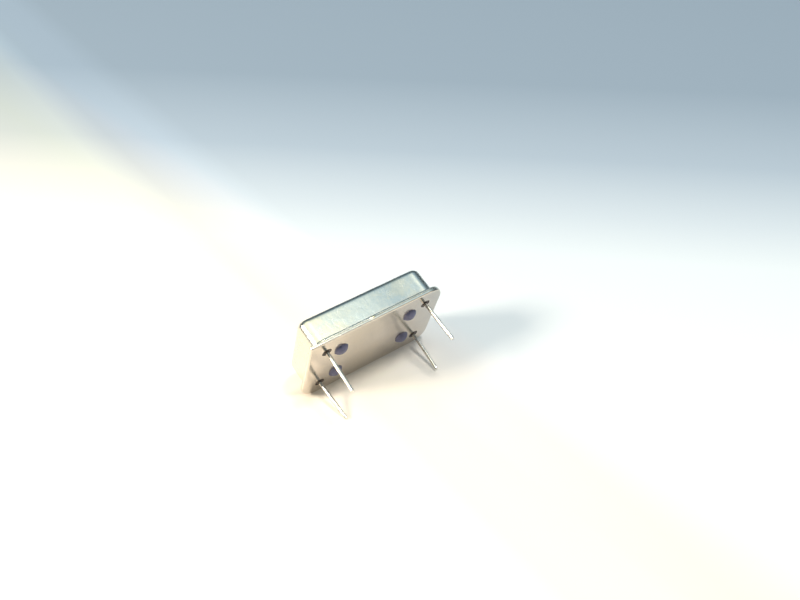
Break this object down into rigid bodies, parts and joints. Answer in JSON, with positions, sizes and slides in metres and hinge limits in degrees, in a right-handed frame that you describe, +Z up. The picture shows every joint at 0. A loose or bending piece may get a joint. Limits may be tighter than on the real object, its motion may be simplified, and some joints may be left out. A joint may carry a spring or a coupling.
{
  "type": "crystal oscillator",
  "caption": "Through-hole crystal clock oscillator: a welded metal can on a flanged header, with round leads in glass seals and domed glass standoffs.",
  "frame": {"origin": "centre of the lead pattern, on the underside of the header plate", "axes": "+Z up from the circuit board into the can, so the leads point to -Z; +X along the can, from lead 1 to lead 7; +Y across it, from lead 1 to lead 14"},
  "size_m": [0.0202, 0.0126, 0.0108],
  "materials": {
    "can_cover": "drawn steel, satin nickel plate",
    "header_plate": "stamped steel, satin nickel plate",
    "lead": "bright tin plate",
    "seal_glass": "dark fused glass",
    "bead_glass": "dark blue-grey fused glass",
    "ceramic": "fired alumina",
    "printed_conductor": "fired thick-film conductor",
    "solder": "reflowed solder",
    "quartz": "lapped quartz with metal electrodes",
    "clip_metal": "gold-plated spring metal",
    "cement": "silver-filled cement",
    "chip": "silicon die",
    "capacitor": "fired ceramic with tinned ends",
    "resistor": "glazed film on ceramic with tinned ends",
    "bond_wire": "gold wire"
  },
  "bodies": {
    "root": {"can_cover": "can_cover", "header_plate": "header_plate", "lead_1": "lead", "lead_7": "lead", "lead_8": "lead", "lead_14": "lead", "glass_seal_1": "seal_glass", "glass_seal_7": "seal_glass", "glass_seal_8": "seal_glass", "glass_seal_14": "seal_glass", "standoff_bead_1": "bead_glass", "standoff_bead_7": "bead_glass", "standoff_bead_8": "bead_glass", "standoff_bead_14": "bead_glass", "ceramic_substrate": "ceramic", "conductor_tracks": "printed_conductor", "solder_joint_1": "solder", "solder_joint_7": "solder", "solder_joint_8": "solder", "solder_joint_14": "solder", "quartz_blank": "quartz", "crystal_clip_left": "clip_metal", "crystal_clip_right": "clip_metal", "cement_dot_left": "cement", "cement_dot_right": "cement", "oscillator_chip": "chip", "bypass_capacitor": "capacitor", "load_capacitor_in": "capacitor", "load_capacitor_out": "capacitor", "enable_resistor": "resistor", "bond_wires": "bond_wire"}
  },
  "joints": []
}
